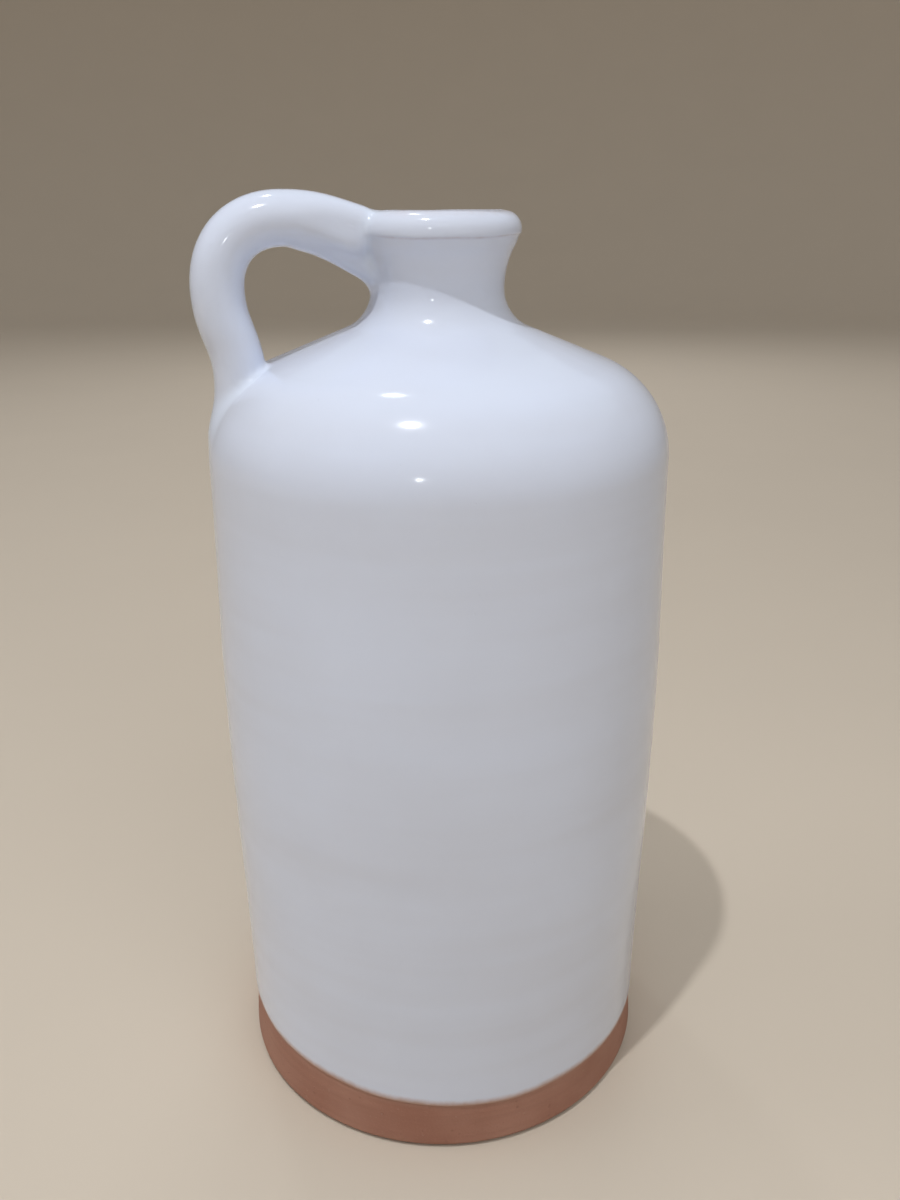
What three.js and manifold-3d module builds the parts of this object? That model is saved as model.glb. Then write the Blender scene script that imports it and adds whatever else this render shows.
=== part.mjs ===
// Glazed terracotta bottle with a pulled handle, in millimetres, +Z up.
// The origin is the centre of the foot's underside, and the handle stands on the -X side.
// A wheel-thrown body carries a handle that is luted on with soft clay at both ends.
// A dipped glaze coats the outside down to a bare clay foot, and a poured glaze lines the inside.
import * as THREE from 'three';
import { LoftGeometry } from 'three/addons/geometries/LoftGeometry.js';
import { mergeVertices } from 'three/addons/utils/BufferGeometryUtils.js';
import Module from 'manifold-3d';

// Thrown body, outside of the bare clay
const lipHeight = 229.4;
const bodyDiameter = 115.4; // at the belly
const bellyHeight = 110;
const footInset = 1.6; // foot, inside the belly all round
const footRound = 1.8;
const wallTopInset = 1; // top of the wall, inside the belly all round
const shoulderRadius = 23.4;
const shoulderSlope = 22; // degrees below level
const neckFillet = 10.6;
const neckDiameter = 31;
const waistDrop = 16.6; // narrowest part of the neck, below the lip
const flareRadius = 20.6;
const flareAngle = 25; // degrees from upright, under the lip
const lipDiameter = 38.8;
const lipRound = 2.8;

// Thrown body, inside of the bare clay
const wallThickness = 5;
const floorThickness = 7;
const floorFillet = 10;
const lipThickness = 4.8;

// Glaze: the dipped coat ends on a tilted line, highest under the handle
const coatThickness = 0.6;
const liningThickness = 0.5;
const glazeLineHeight = 14.2;
const glazeLineTilt = 1.9; // degrees

// Handle: a pulled roll of clay, from the lip over a crown and an elbow down to the shoulder
const handleThickness = 11.2;
const handleWidth = 14.3;
const handleEndWidth = 17;
const rootDepth = 1.5; // start of the roll, inside the neck's surface
const rootDrop = 7; // middle of the roll's start, below the lip
const rootAngle = 31; // degrees of rise where it leaves the lip
const crownOffset = 36.5; // highest point, from the bottle's axis
const crownRise = 4.8; // top of the roll, above the lip
const elbowOverhang = 0.9; // outside of the roll, past the top of the wall
const elbowDrop = 16.4; // outermost point, below the lip
const heelInset = 8.4; // middle of the roll over the shoulder, inside the top of the wall
const heelRise = 2; // straightest point, above the shoulder
const tailInset = 6.5; // middle of the tail, inside the top of the wall
const tailLength = 13; // from the straightest point to the sunk end
const tailAngle = 11; // degrees from upright

// Luting clay: a thin pad under each end of the handle, and a web wiped under the upper end
const padThickness = 1.2;
const webThickness = 8;
const webWidth = 9.4;
const webRise = 2.6; // start of the web, above the waist of the neck
const webRootAngle = 45; // degrees of rise out of the neck
const webReach = 28; // end of the web, from the bottle's axis
const webSink = 3.3; // end of the web, below the middle of the roll's crown
const webTopAngle = 22; // degrees of rise into the roll

// Clearances between pieces that touch
const coatGap = 0.1;
const jointGap = 0.3;

// Facets
const turnSegments = 32;
const arcStep = 20; // degrees
const wallSteps = 3;
const handleSteps = 20;
const webSteps = 6;
const sectionSides = 12;
const curveEase = 0.43; // length of a curve's end tangents, as a share of its chord
const mergeDistance = 1e-3;

// Finishes
const clay = { color: 0xa8705a, roughness: 0.9, metalness: 0 };
const luting = { color: 0xb57c64, roughness: 0.9, metalness: 0 };
const dippedGlaze = { color: 0xdfe3ea, roughness: 0.15, metalness: 0 };
const pouredGlaze = { color: 0xd6d8dc, roughness: 0.2, metalness: 0 };

const wasm = await Module();
wasm.setup();

// Places on the body's section, as (radius, height)
const slope = THREE.MathUtils.degToRad(shoulderSlope);
const flare = THREE.MathUtils.degToRad(flareAngle);
const bellyRadius = bodyDiameter / 2;
const footRadius = bellyRadius - footInset;
const wallTopRadius = bellyRadius - wallTopInset;
const neckRadius = neckDiameter / 2;
const crestRadius = lipDiameter / 2 - lipRound;
const lutedMouthRadius = crestRadius + coatThickness; // luted clay stops here, and the coat wraps its end
const waistHeight = lipHeight - waistDrop;
const lipCentre = new THREE.Vector2(crestRadius, lipHeight - lipRound);
const flareCentre = new THREE.Vector2(neckRadius + flareRadius, waistHeight);
const neckCentre = new THREE.Vector2(neckRadius + neckFillet, waistHeight);
const shoulderNormal = new THREE.Vector2(Math.sin(slope), Math.cos(slope));
const shoulderTop = neckCentre.clone().addScaledVector(shoulderNormal, -neckFillet);
const shoulderCentre = cornerCentre();
const crownHeight = lipHeight + crownRise - handleThickness / 2;

// Centre of the round corner that joins the upright wall to the straight shoulder.
function cornerCentre() {
  const radius = wallTopRadius - shoulderRadius;
  const run = radius + shoulderRadius * shoulderNormal.x - shoulderTop.x;
  const height = shoulderTop.y - run * Math.tan(slope) - shoulderRadius * shoulderNormal.y;
  return new THREE.Vector2(radius, height);
}

// Adds the wall, shoulder, neck and flare, lying parallel to the clay's outside by an offset.
function addSide(path, offset, low) {
  const third = (bellyHeight - low) / 3;
  const upperThird = (shoulderCentre.y - bellyHeight) / 3;
  const foot = footRadius + offset;
  const belly = bellyRadius + offset;
  const top = wallTopRadius + offset;
  const topHeight = shoulderCentre.y;
  path.moveTo(foot, low);
  path.bezierCurveTo(foot, low + third, belly, bellyHeight - third, belly, bellyHeight);
  path.bezierCurveTo(belly, bellyHeight + upperThird, top, topHeight - upperThird, top, topHeight);
  path.absarc(shoulderCentre.x, shoulderCentre.y, shoulderRadius + offset, 0, Math.PI / 2 - slope, false);
  path.absarc(neckCentre.x, neckCentre.y, neckFillet - offset, 1.5 * Math.PI - slope, Math.PI, true);
  path.absarc(flareCentre.x, flareCentre.y, flareRadius - offset, Math.PI, Math.PI - flare, true);
}

// Points along a path, with as many steps on each curve as its turn needs.
function pointsAlong(path) {
  const points = [];
  for (const curve of path.curves) {
    points.push(...curve.getPoints(stepsOn(curve)));
  }
  return points.filter((point, i) => i === 0 || point.distanceTo(points[i - 1]) > mergeDistance);
}

function stepsOn(curve) {
  if (curve.isEllipseCurve) {
    const turn = Math.abs(curve.aEndAngle - curve.aStartAngle);
    return Math.ceil(THREE.MathUtils.radToDeg(turn) / arcStep);
  }
  return curve.isLineCurve ? 1 : wallSteps;
}

// Flat underside and rounded edge of the foot, from the axis to the wall.
function footOutline() {
  const path = new THREE.Path();
  path.moveTo(0, 0);
  path.lineTo(footRadius - footRound, 0);
  path.absarc(footRadius - footRound, footRound, footRound, -Math.PI / 2, 0, false);
  return pointsAlong(path);
}

// Outside section from the foot up to the crest of the lip, a coat's thickness off the clay.
function outsideOutline(coat) {
  const path = new THREE.Path();
  addSide(path, coat, footRound);
  path.absarc(lipCentre.x, lipCentre.y, lipRound + coat, -flare, Math.PI / 2, false);
  return pointsAlong(path);
}

// Inside section from the middle of the floor up to the crest, a lining's thickness off the clay.
function insideOutline(lining) {
  const cornerHeight = floorThickness + floorFillet;
  const cornerOffset = footRadius - wallThickness - floorFillet;
  const innerRound = lipThickness - lipRound - coatGap;
  const floor = new THREE.Path();
  floor.moveTo(0, floorThickness + lining);
  floor.lineTo(cornerOffset, floorThickness + lining);
  floor.absarc(cornerOffset, cornerHeight, floorFillet - lining, -Math.PI / 2, 0, false);
  const side = new THREE.Path();
  addSide(side, -wallThickness - lining, cornerHeight);
  const crest = new THREE.Vector2(crestRadius - coatGap, lipHeight - innerRound);
  side.absarc(crest.x, crest.y, innerRound + lining, Math.PI, Math.PI / 2, true);
  return [...pointsAlong(floor), ...pointsAlong(side).slice(1)];
}

// Solid turned about the Z axis from a section that is closed or ends on the axis.
function turned(outline) {
  const geometry = new THREE.LatheGeometry(outline, turnSegments);
  geometry.rotateX(Math.PI / 2);
  return solidFrom(geometry);
}

function solidFrom(geometry) {
  const bare = new THREE.BufferGeometry();
  bare.setAttribute('position', geometry.attributes.position);
  bare.setIndex(geometry.index);
  const merged = mergeVertices(bare, mergeDistance);
  const vertProperties = merged.attributes.position.array;
  const triVerts = new Uint32Array(merged.index.array);
  return new wasm.Manifold(new wasm.Mesh({ numProp: 3, vertProperties, triVerts }));
}

// Everything within a coat of the clay's outside, and the space over the mouth, to trim what is luted on.
function bodyEnvelope(coat, mouthRadius) {
  const bottom = new THREE.Vector2(0, footRound);
  const top = new THREE.Vector2(0, lipHeight + coat);
  return turned([bottom, ...outsideOutline(coat), top]).add(mouthCore(mouthRadius));
}

// Upright core from inside the lip to clear of the handle.
function mouthCore(radius) {
  const above = crownHeight + handleThickness;
  const corners = [[0, lipCentre.y], [radius, lipCentre.y], [radius, above], [0, above]];
  return turned(corners.map(([x, y]) => new THREE.Vector2(x, y)));
}

// Unit vector that rises at an angle, as (outward, up).
function rising(degrees) {
  const angle = THREE.MathUtils.degToRad(degrees);
  return new THREE.Vector2(Math.cos(angle), Math.sin(angle));
}

// Curve that leaves one point and reaches another along given directions.
function easedCurve(from, leaving, to, reaching) {
  const ease = curveEase * from.distanceTo(to);
  const first = from.clone().addScaledVector(leaving, ease);
  const second = to.clone().addScaledVector(reaching, -ease);
  return new THREE.CubicBezierCurve(from, first, second, to);
}

// Height of the clay shoulder's round corner at a radius.
function shoulderHeightAt(radius) {
  const across = radius - shoulderCentre.x;
  return shoulderCentre.y + Math.sqrt(shoulderRadius ** 2 - across ** 2);
}

// Path of the handle's middle, as (distance from the axis, height).
function handlePath() {
  const elbowOffset = wallTopRadius + elbowOverhang - handleThickness / 2;
  const heelOffset = wallTopRadius - heelInset;
  const heelHeight = shoulderHeightAt(heelOffset) + heelRise;
  const root = new THREE.Vector2(neckRadius - rootDepth, lipHeight - rootDrop);
  const crown = new THREE.Vector2(crownOffset, crownHeight);
  const elbow = new THREE.Vector2(elbowOffset, lipHeight - elbowDrop);
  const heel = new THREE.Vector2(heelOffset, heelHeight);
  const tail = new THREE.Vector2(wallTopRadius - tailInset, heelHeight - tailLength);
  const level = rising(0);
  const down = rising(-90);
  const path = new THREE.CurvePath();
  path.add(easedCurve(root, rising(rootAngle), crown, level));
  path.add(easedCurve(crown, level, elbow, down));
  path.add(easedCurve(elbow, down, heel, down));
  path.add(easedCurve(heel, down, tail, rising(tailAngle - 90)));
  return path;
}

// Path of the web's middle: out of the neck, and up into the underside of the handle.
function webPath() {
  const root = new THREE.Vector2(neckRadius - rootDepth, waistHeight + webRise);
  const top = new THREE.Vector2(webReach, crownHeight - webSink);
  const path = new THREE.CurvePath();
  path.add(easedCurve(root, rising(webRootAngle), top, rising(webTopAngle)));
  return path;
}

// Oval roll along a path in the plane of the handle, on the -X side, grown on its sides and both ends.
function ovalRoll(path, steps, thickness, widthAt, grow) {
  const sections = [];
  for (let i = 0; i <= steps; i++) {
    const along = i / steps;
    const tangent = path.getTangentAt(along);
    const lengthening = i === 0 ? -grow : i === steps ? grow : 0;
    const centre = path.getPointAt(along).addScaledVector(tangent, lengthening);
    const across = new THREE.Vector2(-tangent.y, tangent.x).multiplyScalar(thickness / 2 + grow);
    const halfWidth = widthAt(along) / 2 + grow;
    const section = [];
    for (let k = 0; k < sectionSides; k++) {
      const angle = (2 * Math.PI * k) / sectionSides;
      const point = centre.clone().addScaledVector(across, Math.cos(angle));
      section.push(new THREE.Vector3(-point.x, Math.sin(angle) * halfWidth, point.y));
    }
    sections.push(section);
  }
  return solidFrom(new LoftGeometry(sections, { capStart: true, capEnd: true }));
}

// The handle's roll widens towards both ends, where it was pressed on to the body.
function handleRoll(grow) {
  const widthAt = (along) => handleWidth + (handleEndWidth - handleWidth) * (2 * along - 1) ** 4;
  return ovalRoll(handlePath(), handleSteps, handleThickness, widthAt, grow);
}

function webRoll(grow) {
  return ovalRoll(webPath(), webSteps, webThickness, () => webWidth, grow);
}

// Wide block with its top at a height on the axis, tilted to rise towards the handle.
function blockBelow(height, tilt) {
  const size = 2 * lipHeight;
  const block = new THREE.BoxGeometry(size, size, size);
  block.translate(0, 0, -size / 2);
  block.rotateY(THREE.MathUtils.degToRad(tilt));
  block.translate(0, 0, height);
  return solidFrom(block);
}

// Clay of the body: foot, wall, shoulder, neck and lip, thrown as one piece.
function thrownBody() {
  return turned([...footOutline(), ...outsideOutline(0).slice(1), ...insideOutline(0).toReversed()]);
}

function pulledHandle() {
  return handleRoll(0).subtract(bodyEnvelope(padThickness + jointGap, lutedMouthRadius));
}

// Both pads of luting clay, between the body and the ends of the handle.
function lutingPads() {
  const inPads = handleRoll(0).intersect(bodyEnvelope(padThickness, lutedMouthRadius));
  return inPads.subtract(bodyEnvelope(jointGap, lutedMouthRadius));
}

// Pad on the lip, with the web of soft clay that was wiped down on to the neck.
function upperLuting() {
  const handleRoom = handleRoll(jointGap).subtract(bodyEnvelope(padThickness, lutedMouthRadius));
  const web = webRoll(0).subtract(bodyEnvelope(jointGap, lutedMouthRadius)).subtract(handleRoom);
  return lutingPads().subtract(blockBelow(waistHeight, 0)).add(web);
}

// Pad on the shoulder.
function lowerLuting() {
  return lutingPads().intersect(blockBelow(waistHeight, 0));
}

// One coat over the body, the web and the handle, down to the glaze line.
function outerGlaze() {
  const face = outsideOutline(coatThickness);
  const onBody = turned([...face, ...outsideOutline(coatGap).toReversed(), face[0]]);
  const overRolls = handleRoll(coatThickness).add(webRoll(coatThickness));
  const onHandle = overRolls.subtract(bodyEnvelope(coatGap, crestRadius));
  const lutedClay = handleRoll(coatGap).add(webRoll(coatGap)).subtract(mouthCore(lutedMouthRadius - coatGap));
  return onBody.add(onHandle).subtract(lutedClay).subtract(blockBelow(glazeLineHeight, glazeLineTilt));
}

// Lining of the floor, wall, shoulder and neck, up to the crest of the lip.
function innerGlaze() {
  return turned([...insideOutline(coatGap), ...insideOutline(liningThickness).toReversed()]);
}

function piece(name, solid, finish) {
  const mesh = solid.getMesh();
  const geometry = new THREE.BufferGeometry();
  geometry.setAttribute('position', new THREE.BufferAttribute(mesh.vertProperties, 3));
  geometry.setIndex(new THREE.BufferAttribute(mesh.triVerts, 1));
  geometry.computeVertexNormals();
  const made = new THREE.Mesh(geometry, new THREE.MeshStandardMaterial(finish));
  made.name = name;
  return made;
}

const bottle = new THREE.Group();
bottle.add(piece('thrown_body', thrownBody(), clay));
bottle.add(piece('handle', pulledHandle(), clay));
bottle.add(piece('upper_luting_clay', upperLuting(), luting));
bottle.add(piece('lower_luting_clay', lowerLuting(), luting));
bottle.add(piece('outer_glaze', outerGlaze(), dippedGlaze));
bottle.add(piece('inner_glaze', innerGlaze(), pouredGlaze));

export default bottle;
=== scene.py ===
"""White-glazed terracotta bottle with a pulled handle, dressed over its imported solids, in metres."""

import logging
import math
from dataclasses import dataclass
from enum import Enum
from typing import Callable, Iterable, Optional, Sequence, Union

import bmesh
import bpy
import numpy as np
from mathutils import Matrix, Vector


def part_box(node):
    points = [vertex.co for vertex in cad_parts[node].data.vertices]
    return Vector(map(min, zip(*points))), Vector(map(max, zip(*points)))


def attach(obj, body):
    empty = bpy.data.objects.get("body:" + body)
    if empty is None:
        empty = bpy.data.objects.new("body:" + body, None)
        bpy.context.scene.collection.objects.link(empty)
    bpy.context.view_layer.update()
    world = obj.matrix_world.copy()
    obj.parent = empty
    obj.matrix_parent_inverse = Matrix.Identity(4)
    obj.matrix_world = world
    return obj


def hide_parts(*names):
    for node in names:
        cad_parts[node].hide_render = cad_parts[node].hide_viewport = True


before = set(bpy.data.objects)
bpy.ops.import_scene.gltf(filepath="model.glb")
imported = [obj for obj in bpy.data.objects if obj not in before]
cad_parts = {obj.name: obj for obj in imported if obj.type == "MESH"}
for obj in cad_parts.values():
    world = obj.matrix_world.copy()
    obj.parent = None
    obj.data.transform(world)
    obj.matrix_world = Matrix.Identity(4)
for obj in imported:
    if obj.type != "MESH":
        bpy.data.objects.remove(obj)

log = logging.getLogger("bottle")

BODY = "root"
MERGE = 1e-6
SAME = 1e-7
BATCH = 1500
Colour = tuple[float, float, float, float]
Point = tuple[float, float]


class Node(Enum):
    """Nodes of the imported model."""

    BODY = "thrown_body"
    HANDLE = "handle"
    UPPER_LUTING = "upper_luting_clay"
    LOWER_LUTING = "lower_luting_clay"
    OUTER_GLAZE = "outer_glaze"
    INNER_GLAZE = "inner_glaze"


class Slot(Enum):
    """Material slots of the record."""

    TERRACOTTA = "terracotta"
    LUTING = "luting_clay"
    WHITE_GLAZE = "white_glaze"
    LINING = "lining_glaze"


class Trait(Enum):
    """Values that a finish reads from a piece's points."""

    # glaze thinness, which under the lip's band also carries painted shade
    THIN_GLAZE_AND_SHADE = "thin"
    POOL = "pool"
    HALO = "halo"
    WEAR = "wear"


class Signal:
    """A shader socket whose arithmetic adds Math nodes."""

    def __init__(self, shader: "Shader", socket: bpy.types.NodeSocket) -> None:
        """Keeps the socket and the shader that it belongs to."""
        self.shader = shader
        self.socket = socket

    def _math(self, operation: str, first: "Term", second: "Term") -> "Signal":
        """Adds one Math node.

        Args:
            operation: Blender's name of the operation.
            first: first value or link.
            second: second value or link.

        Returns:
            The result.
        """
        return self.shader.node("ShaderNodeMath", {"operation": operation}, {0: first, 1: second})

    def __add__(self, other: "Term") -> "Signal":
        """Sum with a value on the right."""
        return self._math("ADD", self, other)

    def __radd__(self, other: "Term") -> "Signal":
        """Sum with a value on the left."""
        return self._math("ADD", other, self)

    def __sub__(self, other: "Term") -> "Signal":
        """Difference with a value on the right."""
        return self._math("SUBTRACT", self, other)

    def __rsub__(self, other: "Term") -> "Signal":
        """Difference with a value on the left."""
        return self._math("SUBTRACT", other, self)

    def __mul__(self, other: "Term") -> "Signal":
        """Product with a value on the right."""
        return self._math("MULTIPLY", self, other)

    def __rmul__(self, other: "Term") -> "Signal":
        """Product with a value on the left."""
        return self._math("MULTIPLY", other, self)

    def rise(self, low: float, high: float) -> "Signal":
        """Smooth step from 0 to 1.

        Args:
            low: value at which the step leaves 0.
            high: value at which the step reaches 1; below low for a falling step.

        Returns:
            The stepped value.
        """
        falling = high < low
        ends = (high, low) if falling else (low, high)
        settings = {"interpolation_type": "SMOOTHSTEP"}
        inputs = {"Value": self, "From Min": ends[0], "From Max": ends[1]}
        step = self.shader.node("ShaderNodeMapRange", settings, inputs)
        return 1 - step if falling else step

    def sibling(self, output: Union[int, str]) -> "Signal":
        """Another output of the node that this one comes from."""
        return Signal(self.shader, self.socket.node.outputs[output])


Term = Union[Signal, float]


class Shader:
    """Node tree of one material, on the object's own coordinates."""

    def __init__(self, name: str) -> None:
        """Starts an empty material.

        Args:
            name: name of the material.
        """
        self.material = bpy.data.materials.new(name)
        self.material.use_nodes = True
        self.tree = self.material.node_tree
        self.tree.nodes.clear()
        self.place = self.node("ShaderNodeTexCoord", output="Object")

    def node(
        self,
        kind: str,
        settings: Optional[dict] = None,
        inputs: Optional[dict] = None,
        output: Union[int, str] = 0,
    ) -> Signal:
        """Adds a node.

        Args:
            kind: Blender's name of the node's type.
            settings: the node's own properties, set first.
            inputs: values or links of its sockets, by name or number.
            output: which output is wanted.

        Returns:
            The wanted output, or the input of that number on a node that has none.
        """
        made = self.tree.nodes.new(kind)
        for name, value in (settings or {}).items():
            setattr(made, name, value)
        for key, value in (inputs or {}).items():
            if isinstance(value, Signal):
                self.tree.links.new(value.socket, made.inputs[key])
            else:
                made.inputs[key].default_value = value
        sockets = made.outputs if len(made.outputs) else made.inputs
        return Signal(self, sockets[output])

    def stretched(self, scale: Sequence[float]) -> Signal:
        """Object coordinates scaled along each axis."""
        return self.node("ShaderNodeMapping", None, {"Vector": self.place, "Scale": tuple(scale)})

    def noise(self, scale: float, detail: float = 2.0, place: Optional[Signal] = None) -> Signal:
        """Cloudy noise from 0 to 1.

        Args:
            scale: features to the metre, or to the unit of the place given.
            detail: octaves added.
            place: coordinates, if not the object's own.

        Returns:
            The noise.
        """
        inputs = {"Vector": place or self.place, "Scale": scale, "Detail": detail}
        return self.node("ShaderNodeTexNoise", None, inputs)

    def cells(self, scale: float) -> Signal:
        """Distance to the nearest of scattered points, in cells."""
        return self.node("ShaderNodeTexVoronoi", None, {"Vector": self.place, "Scale": scale})

    def rings(self, scale: float) -> Signal:
        """Noise from 0 to 1 that changes only with the distance from the bottle's axis.

        Args:
            scale: features to the metre.

        Returns:
            The noise.
        """
        flat = self.stretched((1.0, 1.0, 0.0))
        radius = self.node("ShaderNodeVectorMath", {"operation": "LENGTH"}, {0: flat}, "Value")
        inputs = {"W": radius, "Scale": scale, "Detail": 3.0}
        return self.node("ShaderNodeTexNoise", {"noise_dimensions": "1D"}, inputs)

    def trait(self, trait: Trait) -> Signal:
        """Value kept on the piece's points."""
        return self.node("ShaderNodeAttribute", {"attribute_name": trait.value}, output="Fac")

    def dots(self, scale: float, radius: float, share: float) -> Signal:
        """Scattered round dots.

        Args:
            scale: cells to the metre.
            radius: greatest radius of a dot, in metres.
            share: share of the cells that hold a dot.

        Returns:
            1 inside a dot and 0 outside.
        """
        distance = self.cells(scale)
        parts = self.node("ShaderNodeSeparateColor", None, {"Color": distance.sibling("Color")})
        size = parts.sibling("Green") * (radius * scale)
        inside = (size - distance).rise(0.0, 0.3 * radius * scale)
        return inside * parts.rise(share + 0.01, share)

    def mix(self, factor: Term, first: Union[Signal, Colour], second: Union[Signal, Colour]) -> Signal:
        """Blend of two colours.

        Args:
            factor: 0 for the first, 1 for the second.
            first: first colour.
            second: second colour.

        Returns:
            The blend.
        """
        settings = {"data_type": "RGBA", "clamp_factor": True}
        return self.node("ShaderNodeMix", settings, {0: factor, 6: first, 7: second}, 2)

    def layered(self, colour: Union[Signal, Colour], layers: Sequence[tuple[Term, Colour]]) -> Signal:
        """Lays colours over a first one.

        Args:
            colour: the first colour.
            layers: how much of each further colour shows, and that colour, in order.

        Returns:
            The blend of them all.
        """
        for share, tint in layers:
            colour = self.mix(share, colour, tint)
        return colour

    def bump(self, height: Signal, depth: float, strength: float) -> Signal:
        """Surface relief.

        Args:
            height: relief from 0 to 1.
            depth: depth of the full relief, in metres.
            strength: how much of it shows.

        Returns:
            The normal.
        """
        inputs = {"Strength": strength, "Distance": depth, "Height": height}
        return self.node("ShaderNodeBump", None, inputs)

    def close(self, inputs: dict) -> bpy.types.Material:
        """Adds the surface and the output.

        Args:
            inputs: values and links of the Principled surface.

        Returns:
            The finished material.
        """
        surface = self.node("ShaderNodeBsdfPrincipled", None, inputs)
        self.node("ShaderNodeOutputMaterial", None, {"Surface": surface})
        return self.material


@dataclass(frozen=True)
class WhiteGlaze:
    """Glossy opaque white glaze, thin and warm at its edges and full in the creases; the warm line under the
    lip's band is partly thin glaze and partly painted shade.
    """

    name: str = "white_glaze"
    full: Colour = (0.69, 0.74, 0.86, 1.0)
    lean: Colour = (0.655, 0.69, 0.785, 1.0)
    thin: Colour = (0.45, 0.275, 0.205, 1.0)
    pool: Colour = (0.71, 0.77, 0.885, 1.0)
    speck: Colour = (0.10, 0.075, 0.06, 1.0)
    roughness: float = 0.09
    ior: float = 1.52

    def material(self) -> bpy.types.Material:
        """Makes the glaze.

        Returns:
            The material.
        """
        s = Shader(self.name)
        cloud = s.noise(scale=22.0, detail=3.0)
        bands = s.noise(scale=1.0, place=s.stretched((7.0, 7.0, 95.0)))
        # the thin-glaze trait also carries painted shade: a warm dark line under the lip's band stands in for
        # the crease's shadow there
        thin = s.trait(Trait.THIN_GLAZE_AND_SHADE)
        ragged = 0.3 * (s.noise(scale=420.0, detail=3.0) - 0.5) * thin.rise(0.02, 0.3)
        edge = (thin + ragged).rise(0.05, 0.95)
        specks = s.dots(scale=42.0, radius=0.00042, share=0.45)
        faint = s.dots(scale=95.0, radius=0.0003, share=0.5)
        pits = s.dots(scale=210.0, radius=0.00032, share=0.3)
        peel = s.noise(scale=240.0)
        swell = s.noise(scale=60.0, detail=1.0)
        colour = s.layered(self.full, [
            (0.55 * cloud.rise(0.35, 0.75) + 0.45 * bands.rise(0.4, 0.7), self.lean),
            (s.trait(Trait.POOL), self.pool),
            (edge, self.thin),
            (0.85 * specks, self.speck),
            (0.35 * faint, self.speck),
        ])
        relief = 0.5 * swell + 0.2 * peel + 0.25 * bands - 0.35 * pits
        return s.close({
            "Base Color": colour,
            "Roughness": self.roughness + 0.05 * cloud + 0.16 * edge,
            "IOR": self.ior,
            "Normal": s.bump(relief, depth=0.00018, strength=0.55),
        })


@dataclass(frozen=True)
class PouredGlaze:
    """Glossy greyer glaze that was poured round the inside."""

    name: str = "lining_glaze"
    full: Colour = (0.66, 0.685, 0.75, 1.0)
    lean: Colour = (0.60, 0.60, 0.62, 1.0)
    roughness: float = 0.14
    ior: float = 1.52

    def material(self) -> bpy.types.Material:
        """Makes the lining.

        Returns:
            The material.
        """
        s = Shader(self.name)
        runs = s.noise(scale=1.0, place=s.stretched((160.0, 160.0, 14.0)))
        cloud = s.noise(scale=40.0, detail=3.0)
        colour = s.mix(0.5 * runs.rise(0.35, 0.7) + 0.4 * cloud, self.full, self.lean)
        return s.close({
            "Base Color": colour,
            "Roughness": self.roughness + 0.1 * cloud,
            "IOR": self.ior,
            "Normal": s.bump(runs, depth=0.0003, strength=0.4),
        })


@dataclass(frozen=True)
class BareClay:
    """Matt fired terracotta with fine grain, turning marks and a bloom of glaze at the line."""

    name: str = "terracotta"
    red: Colour = (0.328, 0.152, 0.103, 1.0)
    pale: Colour = (0.398, 0.21, 0.15, 1.0)
    dark: Colour = (0.225, 0.103, 0.071, 1.0)
    bloom: Colour = (0.46, 0.31, 0.245, 1.0)
    roughness: float = 0.84

    def material(self) -> bpy.types.Material:
        """Makes the clay.

        Returns:
            The material.
        """
        s = Shader(self.name)
        patch = s.noise(scale=38.0, detail=4.0)
        turning = s.noise(scale=1.0, detail=3.0, place=s.stretched((10.0, 10.0, 620.0)))
        rings = s.rings(scale=420.0)
        grain = s.noise(scale=1500.0, detail=4.0)
        grog = s.dots(scale=520.0, radius=0.0006, share=0.35)
        dust = s.dots(scale=700.0, radius=0.0004, share=0.25)
        colour = s.layered(self.red, [
            (patch.rise(0.3, 0.72), self.pale),
            (0.22 * turning.rise(0.5, 0.8), self.dark),
            (0.25 * rings.rise(0.5, 0.75), self.dark),
            (0.30 * grain.rise(0.52, 0.75), self.pale),
            (0.30 * grog, self.dark),
            (0.25 * dust, self.bloom),
            (0.3 * s.trait(Trait.HALO), self.bloom),
            (0.35 * s.trait(Trait.WEAR) * patch.rise(0.2, 0.6), self.pale),
        ])
        relief = 0.22 * turning + 0.5 * grain + 0.3 * grog + 0.4 * rings
        return s.close({
            "Base Color": colour,
            "Roughness": self.roughness + 0.12 * grain,
            "Normal": s.bump(relief, depth=0.00022, strength=0.8),
        })


LUTING_CLAY = BareClay("luting_clay", red=(0.35, 0.17, 0.115, 1.0), pale=(0.42, 0.23, 0.165, 1.0))


def arc(centre: Point, radius: float, start: float, end: float, steps: int) -> np.ndarray:
    """Points along an arc.

    Args:
        centre: middle of the arc.
        radius: its radius.
        start: angle of its first point, in degrees.
        end: angle of its last point, in degrees.
        steps: number of steps.

    Returns:
        One row for each point.
    """
    turn = np.radians(np.linspace(start, end, steps + 1))
    return np.stack([centre[0] + radius * np.cos(turn), centre[1] + radius * np.sin(turn)], axis=1)


def bezier(corners: Sequence[Sequence[float]], steps: int) -> np.ndarray:
    """Points along a cubic curve.

    Args:
        corners: its four control points.
        steps: number of steps.

    Returns:
        One row for each point.
    """
    a, b, c, d = (np.asarray(corner, float) for corner in corners)
    t = np.linspace(0.0, 1.0, steps + 1)[:, None]
    u = 1.0 - t
    return u**3 * a + 3 * u**2 * t * b + 3 * u * t**2 * c + t**3 * d


def eased(
    start: Point,
    leaving: float,
    end: Point,
    reaching: float,
    pull: float = 0.43,
    steps: int = 60,
) -> np.ndarray:
    """Points along a curve that leaves one point and reaches another at given angles.

    Args:
        start: first point.
        leaving: angle there, in degrees above level.
        end: last point.
        reaching: angle there, in degrees above level.
        pull: how far each end keeps its angle, as a share of the distance between them.
        steps: number of steps.

    Returns:
        One row for each point.
    """
    here, there = np.asarray(start, float), np.asarray(end, float)
    ease = pull * np.linalg.norm(there - here)
    first, second = (np.array([math.cos(a), math.sin(a)]) for a in np.radians([leaving, reaching]))
    return bezier((here, here + ease * first, there - ease * second, there), steps)


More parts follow.
